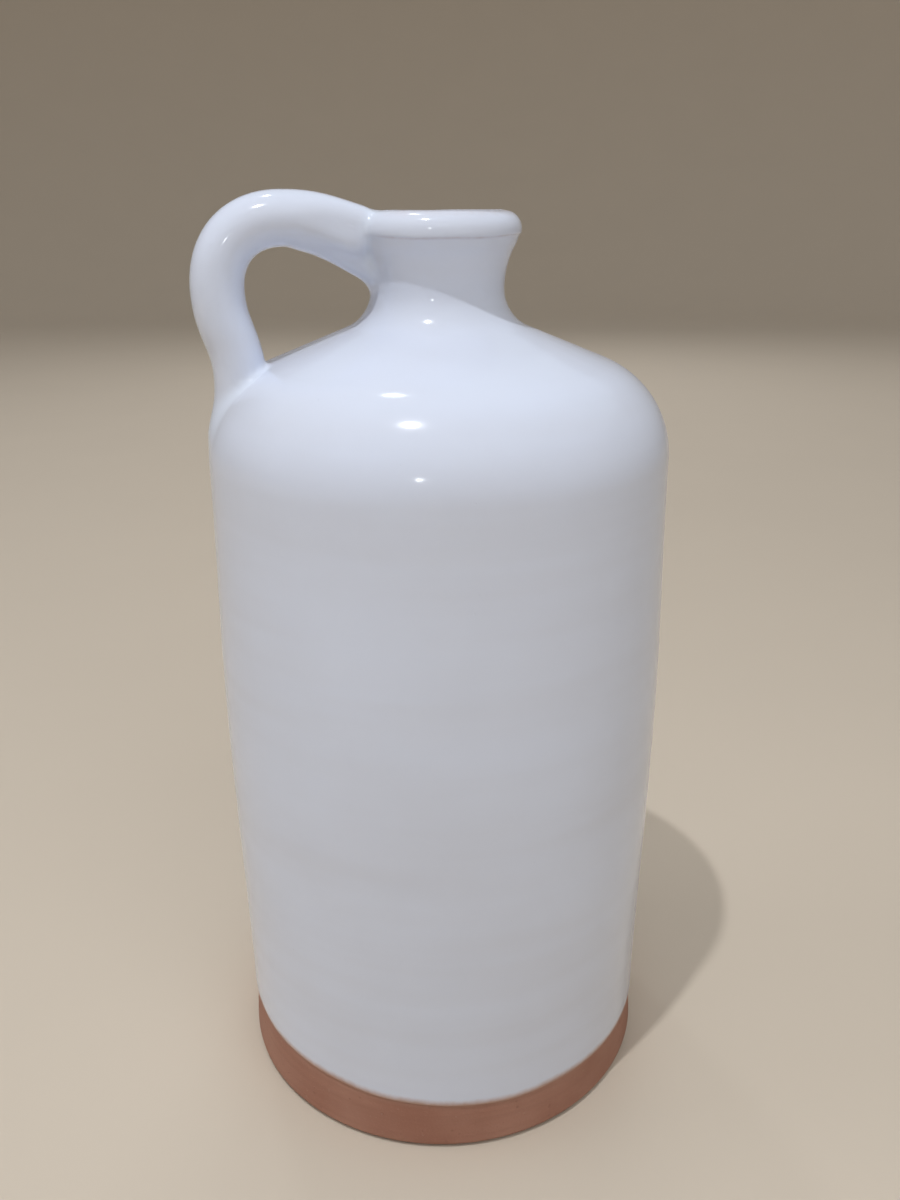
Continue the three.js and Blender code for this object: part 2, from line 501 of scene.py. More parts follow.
def smooth_min(first: np.ndarray, second: np.ndarray, blend: Union[float, np.ndarray]) -> np.ndarray:
    """Lesser of two distances, rounded where they are close.

    Args:
        first: first distances.
        second: second distances.
        blend: difference within which they are rounded together.

    Returns:
        The blended distances.
    """
    close = np.maximum(blend - np.abs(first - second), 0.0) / blend
    return np.minimum(first, second) - close**2 * blend / 4


def smooth_step(low: float, high: float, value: np.ndarray) -> np.ndarray:
    """Smooth step from 0 at low to 1 at high."""
    t = np.clip((value - low) / (high - low), 0.0, 1.0)
    return t * t * (3 - 2 * t)


def plateau(span: Sequence[float], value: np.ndarray) -> np.ndarray:
    """Smooth rise to 1 over the span's first two values and fall to 0 over its last two."""
    return smooth_step(span[0], span[1], value) * (1 - smooth_step(span[2], span[3], value))


def bell(middle: float, width: float, value: np.ndarray) -> np.ndarray:
    """Hump of 1 at the middle that dies away over the width on each side."""
    return np.exp(-(((value - middle) / width) ** 2))


def radii(points: np.ndarray) -> np.ndarray:
    """Distance of each point from the bottle's axis."""
    return np.hypot(points[:, 0], points[:, 1])


def turns(points: np.ndarray) -> np.ndarray:
    """Angle of each point round the bottle's axis."""
    return np.arctan2(points[:, 1], points[:, 0])


def on_section(points: np.ndarray) -> np.ndarray:
    """Radius and height of each point, one row each."""
    return np.stack([radii(points), points[:, 2]], axis=1)


def lengths_along(path: np.ndarray) -> np.ndarray:
    """Distance along a path to each of its points."""
    return np.append(0.0, np.cumsum(np.linalg.norm(np.diff(path, axis=0), axis=1)))


def distinct(path: np.ndarray) -> np.ndarray:
    """Whether each point of a path lies apart from the one before it."""
    return np.append(True, np.linalg.norm(np.diff(path, axis=0), axis=1) > SAME)


def at_heights(heights: Iterable[float], stretch: np.ndarray) -> list[Point]:
    """Points of a rising stretch of the section at the given heights."""
    return [(float(np.interp(h, stretch[:, 1], stretch[:, 0])), float(h)) for h in heights]


def section_rows(stretches: Iterable[Iterable[Sequence[float]]]) -> list[Point]:
    """Stretches of a section as one list of points."""
    return [tuple(map(float, point)) for stretch in stretches for point in stretch]


@dataclass(frozen=True)
class Section:
    """Turned section of the bottle: radius from the axis and height above the foot."""

    lip_height: float
    belly_radius: float
    belly_height: float = 0.110
    foot_inset: float = 0.0016
    foot_round: float = 0.0014
    wall_top_inset: float = 0.001
    shoulder_radius: float = 0.0234
    shoulder_slope: float = 22.0
    neck_fillet: float = 0.0106
    neck_radius: float = 0.0155
    waist_drop: float = 0.0166
    flare_radius: float = 0.0206
    flare_angle: float = 25.0
    lip_radius: float = 0.01945
    lip_round: float = 0.0035
    lip_start: float = -12.0
    groove_depth: float = 0.00022
    wall: float = 0.005
    floor: float = 0.007
    floor_fillet: float = 0.010
    mouth_round: float = 0.0019

    @property
    def foot_radius(self) -> float:
        """Radius of the wall at the foot."""
        return self.belly_radius - self.foot_inset

    @property
    def top_radius(self) -> float:
        """Radius of the wall under the shoulder."""
        return self.belly_radius - self.wall_top_inset

    @property
    def crest_radius(self) -> float:
        """Radius of the lip's crest."""
        return self.lip_radius - self.lip_round

    @property
    def waist(self) -> float:
        """Height of the narrowest part of the neck."""
        return self.lip_height - self.waist_drop

    @property
    def neck_centre(self) -> Point:
        """Middle of the round between shoulder and neck."""
        return (self.neck_radius + self.neck_fillet, self.waist)

    @property
    def flare_centre(self) -> Point:
        """Middle of the neck's flare."""
        return (self.neck_radius + self.flare_radius, self.waist)

    @property
    def shoulder_centre(self) -> Point:
        """Middle of the round between wall and shoulder.

        Returns:
            Its distance from the axis and its height.
        """
        slope = math.radians(self.shoulder_slope)
        normal = (math.sin(slope), math.cos(slope))
        top = [c - self.neck_fillet * n for c, n in zip(self.neck_centre, normal)]
        radius = self.top_radius - self.shoulder_radius
        run = radius + self.shoulder_radius * normal[0] - top[0]
        return (radius, top[1] - run * math.tan(slope) - self.shoulder_radius * normal[1])

    def shoulder_height(self, radius: float) -> float:
        """Height of the clay's rounded shoulder at a radius."""
        across = radius - self.shoulder_centre[0]
        return self.shoulder_centre[1] + math.sqrt(self.shoulder_radius**2 - across**2)

    def side(self, offset: float, low: float) -> list[np.ndarray]:
        """Wall, shoulder, neck and flare, parallel to the clay's outside.

        Args:
            offset: distance off the clay, less than zero towards the axis.
            low: height at which the wall starts.

        Returns:
            The stretches in order, from below.
        """
        foot, belly, top = (r + offset for r in (self.foot_radius, self.belly_radius, self.top_radius))
        high = self.shoulder_centre[1]
        lower = (self.belly_height - low) / 3
        upper = (high - self.belly_height) / 3
        mid = self.belly_height
        slope = self.shoulder_slope
        return [
            bezier(((foot, low), (foot, low + lower), (belly, mid - lower), (belly, mid)), 18),
            bezier(((belly, mid), (belly, mid + upper), (top, high - upper), (top, high)), 14),
            arc(self.shoulder_centre, self.shoulder_radius + offset, 0, 90 - slope, 44),
            arc(self.neck_centre, self.neck_fillet - offset, 270 - slope, 180, 30),
            arc(self.flare_centre, self.flare_radius - offset, 180, 180 - self.flare_angle, 20),
        ]

    def under_lip(self, offset: float) -> np.ndarray:
        """Outside of the neck from its waist up to the crease under the lip.

        Args:
            offset: distance off the clay.

        Returns:
            Points from the waist up.
        """
        flare = arc(self.flare_centre, self.flare_radius - offset, 180, 180 - self.flare_angle, 16)
        low = arc(self.flare_centre, self.flare_radius, 180, 180 - self.flare_angle, 1)[-1]
        run = self.lip(0.0, [self.lip_start])[0] - low
        out = np.array([run[1], -run[0]]) / np.linalg.norm(run)
        rise = [low + run * share + out * (offset - cut) for share, cut in
                ((0.45, 0.0), (0.84, self.groove_depth), (0.97, 0.0))]
        return np.concatenate([flare, rise])

    def lip(self, offset: float, angles: Sequence[float]) -> np.ndarray:
        """Outside of the lip's band.

        Args:
            offset: distance off the clay.
            angles: where on the round, in degrees above level.

        Returns:
            One row for each angle.
        """
        turn = np.radians(np.asarray(angles, float))
        radius = self.lip_round + offset
        middle = self.lip_height - self.lip_round
        return np.stack([self.crest_radius + radius * np.cos(turn), middle + radius * np.sin(turn)], axis=1)

    def mouth(self, offset: float) -> np.ndarray:
        """Inside of the lip, from its crest to the top of the neck's bore."""
        centre = (self.crest_radius, self.lip_height - self.mouth_round)
        return arc(centre, self.mouth_round + offset, 90, 180, 20)

    def inside(self, offset: float) -> np.ndarray:
        """Inside of the floor, wall, shoulder and neck.

        Args:
            offset: distance off the clay, into the hollow.

        Returns:
            Points from the middle of the floor up to the flare.
        """
        reach = self.foot_radius - self.wall - self.floor_fillet
        corner = self.floor + self.floor_fillet
        floor = np.array([[0.0, self.floor + offset], [0.5 * reach, self.floor + offset]])
        fillet = arc((reach, corner), self.floor_fillet - offset, -90, 0, 12)
        return np.concatenate([floor, fillet, *self.side(-self.wall - offset, corner)])


class Outline:
    """Signed distance to an open section, more than zero outside the clay."""

    def __init__(self, points: np.ndarray) -> None:
        """Keeps the section's segments, without points that coincide.

        Args:
            points: radius and height of each point, in order.
        """
        points = points[distinct(points)]
        self.start = points[:-1]
        self.run = np.diff(points, axis=0)
        self.length2 = (self.run**2).sum(axis=1)

    def nearest(self, places: np.ndarray) -> tuple[np.ndarray, np.ndarray]:
        """Nearest places on the section.

        Args:
            places: radius and height of each point.

        Returns:
            The nearest places, and the signed distances to them.
        """
        found = np.empty_like(places)
        signed = np.empty(len(places))
        for low in range(0, len(places), BATCH):
            part = slice(low, low + BATCH)
            gap = places[part, None, :] - self.start[None]
            share = np.clip((gap * self.run).sum(axis=2) / self.length2, 0.0, 1.0)
            foot = self.start + share[..., None] * self.run
            away = np.linalg.norm(places[part, None, :] - foot, axis=2)
            best = away.argmin(axis=1)
            row = np.arange(len(best))
            found[part] = foot[row, best]
            run, off = self.run[best], gap[row, best]
            side = np.sign(off[:, 0] * run[:, 1] - off[:, 1] * run[:, 0])
            signed[part] = side * away[row, best]
        return found, signed


class Roll:
    """Oval roll of clay swept in the plane of the handle, on the -X side."""

    def __init__(
        self,
        path: np.ndarray,
        half_thickness: np.ndarray,
        half_width: np.ndarray,
        fullness: np.ndarray,
        cap: float,
    ) -> None:
        """Keeps the path, its tangents and its lengths.

        Args:
            path: distance from the axis and height of the roll's middle.
            half_thickness: half the roll's thickness at each point of the path.
            half_width: half the roll's width at each point of the path.
            fullness: 2 where the section is an oval, more where it is squarer.
            cap: length of the rounded end before the path.
        """
        keep = distinct(path)
        self.path = path[keep]
        self.half_thickness = half_thickness[keep]
        self.half_width = half_width[keep]
        self.fullness = fullness[keep]
        self.cap = np.append(cap, self.half_thickness[1:])
        tangent = np.gradient(self.path, axis=0)
        self.tangent = tangent / np.linalg.norm(tangent, axis=1)[:, None]
        self.along = lengths_along(self.path)

    def distance(self, points: np.ndarray) -> np.ndarray:
        """Signed distance to the roll, which ends in half ovals.

        Args:
            points: one row for each point.

        Returns:
            Distances, less than zero inside.
        """
        result = np.empty(len(points))
        last = len(self.path) - 1
        for low in range(0, len(points), BATCH):
            part = points[low:low + BATCH]
            place = np.stack([-part[:, 0], part[:, 2]], axis=1)
            gap = place[:, None, :] - self.path[None]
            best = (gap**2).sum(axis=2).argmin(axis=1)
            off = gap[np.arange(len(best)), best]
            tangent = self.tangent[best]
            past = (off * tangent).sum(axis=1)
            past = np.where(((best == 0) & (past < 0)) | ((best == last) & (past > 0)), past, 0.0)
            across = off[:, 1] * tangent[:, 0] - off[:, 0] * tangent[:, 1]
            sizes = np.stack([self.half_thickness[best], self.half_width[best], self.cap[best]], axis=1)
            scaled = np.maximum(np.abs(np.stack([across, part[:, 1], past], axis=1)) / sizes, 1e-6)
            power = self.fullness[best][:, None]
            level = (scaled**power).sum(axis=1) ** (1 / power[:, 0])
            steep = np.linalg.norm((scaled / level[:, None]) ** (power - 1) / sizes, axis=1)
            result[low:low + BATCH] = (level - 1) / steep
        return result

    def frame_at(self, along: float) -> Matrix:
        """Matrix that carries a unit circle to the roll's section.

        Args:
            along: distance along the path.

        Returns:
            The matrix, with its third axis along the path.
        """
        def at(values: np.ndarray) -> float:
            """Value of one column there."""
            return float(np.interp(along, self.along, values))

        tangent = Vector((-at(self.tangent[:, 0]), 0.0, at(self.tangent[:, 1]))).normalized()
        across = Vector((0.0, 1.0, 0.0))
        up = tangent.cross(across)
        centre = Vector((-at(self.path[:, 0]), 0.0, at(self.path[:, 1])))
        columns = (up * at(self.half_thickness), across * at(self.half_width), tangent, centre)
        return Matrix([[*row] for row in zip(*columns)] + [[0.0, 0.0, 0.0, 1.0]])


@dataclass(frozen=True)
class HandleForm:
    """Pulled handle from the lip over a crown and an elbow to the shoulder, with the web under its root."""

    section: Section
    crown_top: float
    thickness: float = 0.0112
    width: float = 0.0143
    end_width: float = 0.017
    root_reach: float = 0.005
    root_drop: float = 0.0034
    root_angle: float = 17.0
    root_cap: float = 0.0038
    root_thickness: float = 0.0104
    root_fullness: float = 1.4
    root_length: float = 0.0145
    crown_offset: float = 0.0365
    elbow_overhang: float = 0.0009
    elbow_drop: float = 0.0164
    heel_inset: float = 0.0084
    heel_rise: float = 0.002
    tail_inset: float = 0.0065
    tail_length: float = 0.013
    tail_angle: float = 11.0
    web_thickness: float = 0.008
    web_width: float = 0.0094
    web_depth: float = 0.0015
    web_rise: float = 0.0049
    web_root_angle: float = 27.0
    web_reach: float = 0.031
    web_sink: float = 0.0027
    web_top_angle: float = 18.0

    @property
    def crown_height(self) -> float:
        """Height of the roll's middle at its crown."""
        return self.crown_top - self.thickness / 2

    def roll(self, coat: float) -> Roll:
        """The handle's roll.

        Args:
            coat: thickness of glaze on the clay.

        Returns:
            The roll with its coat.
        """
        s = self.section
        heel_offset = s.top_radius - self.heel_inset
        heel_height = s.shoulder_height(heel_offset) + self.heel_rise
        root = (s.neck_radius + self.root_reach, s.lip_height - self.root_drop)
        crown = (self.crown_offset, self.crown_height)
        elbow = (s.top_radius + self.elbow_overhang - self.thickness / 2, s.lip_height - self.elbow_drop)
        heel = (heel_offset, heel_height)
        tail = (s.top_radius - self.tail_inset, heel_height - self.tail_length)
        path = np.concatenate([
            eased(root, self.root_angle, crown, 0.0),
            eased(crown, 0.0, elbow, -90.0),
            eased(elbow, -90.0, heel, -90.0),
            eased(heel, -90.0, tail, self.tail_angle - 90.0),
        ])
        along = lengths_along(path)
        swell = (2 * along / along[-1] - 1) ** 4
        width = self.width + (self.end_width - self.width) * swell
        rooted = 1 - smooth_step(0.0, self.root_length, along)
        thickness = self.thickness + (self.root_thickness - self.thickness) * rooted
        fullness = 2 + self.root_fullness * rooted
        return Roll(path, thickness / 2 + coat, width / 2 + coat, fullness, self.root_cap + coat)

    def web(self, coat: float) -> Roll:
        """The web of soft clay under the handle's root.

        Args:
            coat: thickness of glaze on the clay.

        Returns:
            The web with its coat.
        """
        s = self.section
        root = (s.neck_radius - self.web_depth, s.waist + self.web_rise)
        top = (self.web_reach, self.crown_height - self.web_sink)
        path = eased(root, self.web_root_angle, top, self.web_top_angle)
        count = len(path)
        thick = self.web_thickness / 2 + coat
        wide = self.web_width / 2 + coat
        return Roll(path, np.full(count, thick), np.full(count, wide), np.full(count, 2.0), thick)


@dataclass(frozen=True)
class Hand:
    """Small unevenness that the potter's hands and the dip leave."""

    foot_flare: float = 0.0013
    foot_flare_height: float = 0.030
    full_radius: float = 0.05
    ring_depth: float = 0.000035
    ring_span: tuple[float, ...] = (0.018, 0.040, 0.168, 0.186)
    ring_climb: float = 0.0018
    ring_pitches: Point = (0.0134, 0.0081)
    ring_swell: float = 0.061
    out_of_round: float = 0.00022
    round_height: float = 0.03
    lip_reach: float = 0.024
    rim_wave: float = 0.00009
    rim_span: Point = (0.2265, 0.2295)
    band_wave: float = 0.00028
    band_line: Point = (0.2249, 0.0011)
    glaze_line: float = 0.0142
    glaze_tilt: float = 0.033
    glaze_wave: float = 0.001

    def line(self, x: np.ndarray, turn: np.ndarray) -> np.ndarray:
        """Height of the glaze's lower edge.

        Args:
            x: place along X, from which the tilt comes.
            turn: angle round the axis.

        Returns:
            The heights.
        """
        wave = 0.95 * np.sin(2 * turn + 1.97) + 0.20 * np.sin(5 * turn + 0.3)
        wave = wave + 0.12 * np.sin(11 * turn + 2.2) + 0.06 * np.sin(19 * turn + 0.7)
        return self.glaze_line - self.glaze_tilt * x + self.glaze_wave * wave

    def band(self, turn: np.ndarray) -> np.ndarray:
        """How far the lip's lower edge wanders up or down at each angle round the axis."""
        return self.band_wave * (np.sin(2 * turn + 1.97) + 0.3 * np.sin(7 * turn + 0.4))

    def shift(self, points: np.ndarray, free: np.ndarray) -> np.ndarray:
        """Moves points off the true turned form.

        Args:
            points: one row for each point.
            free: 1 away from the handle and 0 on it.

        Returns:
            The moved points.
        """
        x, y, z = points.T
        turn, radius = turns(points), radii(points)
        full = np.minimum(radius / self.full_radius, 1.0)
        span = plateau(self.ring_span, z) * free
        climb = z + self.ring_climb * turn / np.pi
        coarse, fine = (2 * np.pi * climb / pitch for pitch in self.ring_pitches)
        rings = np.sin(coarse) + 0.6 * np.sin(fine + 1.3)
        rings = rings * (0.7 + 0.3 * np.sin(2 * np.pi * z / self.ring_swell + 0.4))
        oval = self.out_of_round * np.cos(2 * turn + 0.6 + 9.0 * z) * full
        flare = self.foot_flare * np.clip(1 - z / self.foot_flare_height, 0, 1) ** 2
        out = self.ring_depth * rings * span + oval * smooth_step(0.0, self.round_height, z)
        out = out + flare * full
        rim = self.rim_wave * (np.sin(2 * turn + 0.5) + 0.5 * np.sin(5 * turn + 2.0))
        lift = rim * smooth_step(*self.rim_span, z) + self.band(turn) * bell(*self.band_line, z)
        lift = lift * (free * (radius < self.lip_reach))
        grow = 1 + out / np.maximum(radius, 1e-4)
        return np.stack([x * grow, y * grow, z + lift], axis=1)


def turned(points: Iterable[Sequence[float]], steps: int) -> bmesh.types.BMesh:
    """Spins a section round the bottle's axis.

    Args:
        points: radius and height of each point, in order.
        steps: steps in the full turn.

    Returns:
        The spun mesh, closed at its seam and at any point on the axis.
    """
    bm = bmesh.new()
    verts = [bmesh.ops.create_vert(bm, co=(r, 0.0, z))["vert"][0] for r, z in points]
    edges = [bm.edges.new(pair) for pair in zip(verts, verts[1:])]
    bmesh.ops.spin(
        bm, geom=verts + edges, cent=(0, 0, 0), axis=(0, 0, 1), angle=2 * math.pi,
        steps=steps, use_merge=True, use_duplicate=False,
    )
    bmesh.ops.remove_doubles(bm, verts=bm.verts, dist=MERGE)
    bmesh.ops.recalc_face_normals(bm, faces=bm.faces)
    return bm


def swept(bm: bmesh.types.BMesh, frames: Sequence[Matrix], segments: int) -> tuple[list, list]:
    """Extrudes a circle along a row of frames.

    Args:
        bm: the mesh that gets the tube.
        frames: matrices that carry a unit circle to each section.
        segments: edges of the circle.

    Returns:
        The edges of the first ring and of the last.
    """
    circle = bmesh.ops.create_circle(bm, cap_ends=False, segments=segments, radius=1.0, matrix=frames[0])
    first = ring = list(dict.fromkeys(e for v in circle["verts"] for e in v.link_edges))
    for here, there in zip(frames, frames[1:]):
        made = bmesh.ops.extrude_edge_only(bm, edges=ring)["geom"]
        verts = [g for g in made if isinstance(g, bmesh.types.BMVert)]
        bmesh.ops.transform(bm, matrix=there @ here.inverted(), verts=verts)
        fresh = set(verts)
        ring = [g for g in made if isinstance(g, bmesh.types.BMEdge) and fresh.issuperset(g.verts)]
    return first, ring


def coordinates(verts: Iterable[bmesh.types.BMVert]) -> np.ndarray:
    """Places of a mesh's points, one row each."""
    return np.array([v.co for v in verts], float)


def place_points(verts: Iterable[bmesh.types.BMVert], points: np.ndarray) -> None:
    """Moves each point of a mesh to its row's place."""
    for vert, place in zip(verts, points):
        vert.co = place


def smooth_mesh(bm: bmesh.types.BMesh, name: str) -> bpy.types.Mesh:
    """Makes a mesh with smooth shading.

    Args:
        bm: its shape, which is freed.
        name: name of the mesh.

    Returns:
        The mesh.
    """
    for face in bm.faces:
        face.smooth = True
    mesh = bpy.data.meshes.new(name)
    bm.to_mesh(mesh)
    bm.free()
    return mesh


def linked(name: str, data: bpy.types.ID) -> bpy.types.Object:
    """Makes an object and puts it in the scene.

    Args:
        name: name of the object.
        data: its mesh, lamp or camera.

    Returns:
        The object.
    """
    made = bpy.data.objects.new(name, data)
    bpy.context.scene.collection.objects.link(made)
    return made


def finished(
    bm: bmesh.types.BMesh,
    name: str,
    material: bpy.types.Material,
    node: Node,
    traits: Optional[dict[Trait, Callable[[np.ndarray], np.ndarray]]] = None,
) -> bpy.types.Object:
    """Makes a piece of a mesh and sets it in the frame.

    Args:
        bm: the mesh, which is freed.
        name: name of the piece.
        material: its finish.
        node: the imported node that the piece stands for.
        traits: for each trait, its value at the given points.

    Returns:
        The piece.
    """
    mesh = smooth_mesh(bm, name)
    mesh.materials.append(material)
    places = np.empty(len(mesh.vertices) * 3)
    mesh.vertices.foreach_get("co", places)
    for trait, value in (traits or {}).items():
        kept = mesh.attributes.new(trait.value, "FLOAT", "POINT")
        kept.data.foreach_set("value", value(places.reshape(-1, 3)).astype(np.float32))
    piece = linked(name, mesh)
    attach(piece, BODY)
    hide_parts(node.value)
    triangles = sum(len(p.vertices) - 2 for p in mesh.polygons)
    log.info("%s: %d triangles, stands for %s", name, triangles, node.value)
    return piece


@dataclass
class GlazeSkin:
    """The dipped coat: one skin over body, web and handle, from the glaze line over the lip into the mouth."""

    section: Section
    form: HandleForm
    hand: Hand
    coat: float
    thickness: float = 0.0005
    columns: int = 40
    levels: int = 2
    overlap: float = 0.0003
    lining: float = 0.0005
    lip_blend: float = 0.0013
    neck_blend: float = 0.0034
    shoulder_blend: float = 0.0022
    web_blend: float = 0.0018
    lip_join: Point = (0.2145, 0.2215)
    neck_join: Point = (0.199, 0.206)
    root_half_turn: float = 36.0
    root_drop: float = 0.0046
    root_inset: float = 0.0015
    tail_half_turn: float = 18.0
    tail_heights: Point = (0.1635, 0.198)
    tail_radius: float = 0.0385
    shoulder_heights: Point = (0.15, 0.205)
    neck_inset: float = 0.002
    rings: int = 15
    first_ring: float = 0.005
    last_ring_above_end: float = 0.0195
    handle_side: float = -0.005
    edge_height: float = 0.0035
    joined_within: float = 0.009
    mouth_inset: float = 0.0005
    reach: float = 0.0062
    step_back: float = 0.0015
    backward_steps: int = 6
    cast_pace: float = 0.85
    cast_steps: int = 12
    relaxing: int = 6
    smoothing: int = 6
    uneven_from: Point = (0.001, 0.011)
    wavy_below: Point = (0.016, 0.034)
    thin_height: float = 0.0030
    crest_line: Point = (0.2297, 0.0012)
    crest_radius: float = 0.0195
    # height, width and radial span of the line under the lip's band, painted shade that is partly thin glaze
    lip_thin_and_shade_line: Point = (0.2246, 0.00035)
    lip_thin_and_shade_radii: Point = (0.0165, 0.0215)
    lip_free: float = 0.006
    pool_reach: float = 0.0024

    def __post_init__(self) -> None:
        """Works out the mouth, the bore, the outline and the coated rolls."""
        s = self.section
        self.bore = s.side(-s.wall - self.lining - self.overlap, s.floor)[-1][::-1]
        self.mouth = s.mouth(self.lining + self.overlap)
        band = s.lip(self.coat, np.linspace(s.lip_start, 90, 50))
        outer = [*s.side(self.coat, s.foot_round)[:-1], s.under_lip(self.coat), band]
        self.outline = Outline(np.concatenate([*outer, self.mouth, self.bore[:14]]))
        self.roll = self.form.roll(self.coat)
        self.web = self.form.web(self.coat)

    def rows(self) -> list[Point]:
        """Section of the cage, with rows close together where it turns.

        Returns:
            Radius and height of each row, from the glaze line to inside the mouth.
        """
        s, c = self.section, self.coat
        foot, line = s.foot_radius, self.hand.glaze_line
        edge = [(foot - 0.0002, line + 0.0005), (foot + 0.45 * c, line - 0.00005),
                (foot + 0.95 * c, line + 0.0006), (foot + c, line + 0.0022)]
        low_wall, high_wall, shoulder, fillet, _ = s.side(c, s.foot_round)
        heights = [0.0205, 0.027, *np.arange(0.036, 0.150, 0.0115), 0.156, 0.163, 0.1665, 0.170]
        wall = at_heights(heights, np.concatenate([low_wall, high_wall]))
        high, low = shoulder[-1], fillet[0]
        slope = [high + (low - high) * t for t in (0.19, 0.42, 0.64, 0.84)]
        flare = s.under_lip(c)[[9, 16, 18, 19]]
        lip = s.lip(c, (s.lip_start + 6, 25, 58, 90))
        mouth, bore = self.mouth[[9, 20]], self.bore[[0, 6, 10]]
        middle = (mouth[-1] + bore[0]) / 2
        return section_rows([
            edge, wall, shoulder[::4], slope, fillet[::6], flare, lip, mouth, [middle], bore,
        ])

    def cage(self) -> bmesh.types.BMesh:
        """Coarse cage of body and handle in one skin.

        Returns:
            The cage, with the handle bridged to the body.
        """
        grow = 3 / (2 + math.cos(2 * math.pi / self.columns))
        bm = turned([(r * grow, z) for r, z in self.rows()], self.columns)
        self._open(bm, self._under_root, self.root_half_turn)
        self._open(bm, self._under_tail, self.tail_half_turn)
        first, last = self._tube(bm)
        tube = {*first, *last}
        holes = [e for e in bm.edges if e.is_boundary and e not in tube]
        for ring, test, cuts in ((first, self._above_waist, 3), (last, self._on_shoulder, 5)):
            hole = [e for e in holes if test(e)]
            log.info("bridge of %d and %d edges", len(hole), len(ring))
            made = bmesh.ops.bridge_loops(bm, edges=hole + ring)
            across = [e for e in made["edges"] if e not in hole and e not in ring]
            bmesh.ops.subdivide_edges(bm, edges=across, cuts=cuts, use_grid_fill=True)
        bmesh.ops.recalc_face_normals(bm, faces=bm.faces)
        return bm

    def _open(self, bm: bmesh.types.BMesh, test: Callable[[float, float], bool], half_turn: float) -> None:
        """Deletes the faces that the handle covers.

        Args:
            bm: the cage.
            test: whether a face at a radius and height lies under the handle.
            half_turn: how far round from -X the opening reaches, in degrees.
        """
        gone = []
        for face in bm.faces:
            x, y, z = face.calc_center_median()
            turn = math.degrees(math.atan2(abs(y), -x))
            if turn < half_turn and test(math.hypot(x, y), z):
                gone.append(face)
        bmesh.ops.delete(bm, geom=gone, context="FACES")

    def _under_root(self, radius: float, height: float) -> bool:
        """Whether a place on the section lies under the handle's root."""
        s = self.section
        return height > s.waist - self.root_drop and radius > s.crest_radius - self.root_inset

    def _under_tail(self, radius: float, height: float) -> bool:
        """Whether a place on the section lies under the handle's tail."""
        low, high = self.tail_heights
        return low < height < high and radius > self.tail_radius

    def _above_waist(self, edge: bmesh.types.BMEdge) -> bool:
        """Whether an open edge belongs to the opening at the lip."""
        x, y, z = (edge.verts[0].co + edge.verts[1].co) / 2
        return z > self.shoulder_heights[1] and math.hypot(x, y) > self.section.neck_radius - self.neck_inset

    def _on_shoulder(self, edge: bmesh.types.BMEdge) -> bool:
        """Whether an open edge belongs to the opening on the shoulder."""
        low, high = self.shoulder_heights
        return low < edge.verts[0].co.z < high

    def _tube(self, bm: bmesh.types.BMesh) -> tuple[list, list]:
        """Adds the handle's tube, extruded from a circle along the roll.

        Args:
            bm: the cage.

        Returns:
            The edges of its first ring and of its last, as many as there are round the opening at the lip.
        """
        end = self.roll.along[-1] - self.last_ring_above_end
        frames = [self.roll.frame_at(stop) for stop in np.linspace(self.first_ring, end, self.rings)]
        return swept(bm, frames, sum(1 for e in bm.edges if e.is_boundary and self._above_waist(e)))

    def subdivided(self, bm: bmesh.types.BMesh) -> bmesh.types.BMesh:
        """Smooths the cage into a fine skin.

        Args:
            bm: the cage, which is freed.

        Returns:
            The fine skin.
        """
        mesh = smooth_mesh(bm, "cage")
        cage = linked("cage", mesh)
        smooth = cage.modifiers.new("smooth", "SUBSURF")
        smooth.levels = smooth.render_levels = self.levels
        fine = bmesh.new()
        fine.from_object(cage, bpy.context.evaluated_depsgraph_get())
        bpy.data.objects.remove(cage)
        bpy.data.meshes.remove(mesh)
        fine.normal_update()
        return fine

    def on_clay(self, points: np.ndarray) -> np.ndarray:
        """Signed distance to the glazed body without its handle."""
        return self.outline.nearest(on_section(points))[1]

    def on_handle(self, points: np.ndarray) -> np.ndarray:
        """Signed distance to the glazed handle and web."""
        return smooth_min(self.roll.distance(points), self.web.distance(points), self.web_blend)

    def blend_at(self, points: np.ndarray) -> np.ndarray:
        """How softly the handle runs into the body.

        Args:
            points: one row for each point.

        Returns:
            The distance over which they blend at each point.
        """
        z = points[:, 2]
        upper = self.neck_blend + (self.lip_blend - self.neck_blend) * smooth_step(*self.lip_join, z)
        return self.shoulder_blend + (upper - self.shoulder_blend) * smooth_step(*self.neck_join, z)

    def whole(self, points: np.ndarray) -> np.ndarray:
        """Signed distance to body and handle together."""
        return smooth_min(self.on_clay(points), self.on_handle(points), self.blend_at(points))

    def settle(self, bm: bmesh.types.BMesh) -> None:
        """Moves the skin's points on to the true form.

        Args:
            bm: the fine skin.
        """
        points = coordinates(bm.verts)
        normals = np.array([v.normal for v in bm.verts], float)
        places = on_section(points)
        near = np.full(len(points), 1.0)
        handle_side = points[:, 0] < self.handle_side
        near[handle_side] = self.on_handle(points[handle_side])
        edge = points[:, 2] < self.hand.glaze_line + self.edge_height
        outside = places[:, 0] > self.section.crest_radius - self.mouth_inset
        joined = ~edge & (near < self.joined_within) & outside
        body = ~edge & ~joined
        found, _ = self.outline.nearest(places[body])
        grow = found[:, 0] / places[body, 0]
        points[body] = np.stack([points[body, 0] * grow, points[body, 1] * grow, found[:, 1]], axis=1)
        points[joined] = self._cast(points[joined], normals[joined])
        place_points(bm.verts, points)
        self._relax([v for v, chosen in zip(bm.verts, joined) if chosen], bm)
        bm.normal_update()

    def _relax(self, verts: list[bmesh.types.BMVert], bm: bmesh.types.BMesh) -> None:
        """Spreads points evenly over the form.

        Args:
            verts: the points that may move.
            bm: the fine skin.
        """
        for _ in range(self.relaxing):
            for _ in range(self.smoothing):
                bmesh.ops.smooth_vert(
                    bm, verts=verts, factor=0.5, use_axis_x=True, use_axis_y=True, use_axis_z=True,
                )
            points = self._onto(coordinates(verts))
            place_points(verts, points)
        place_points(verts, self._onto(points))

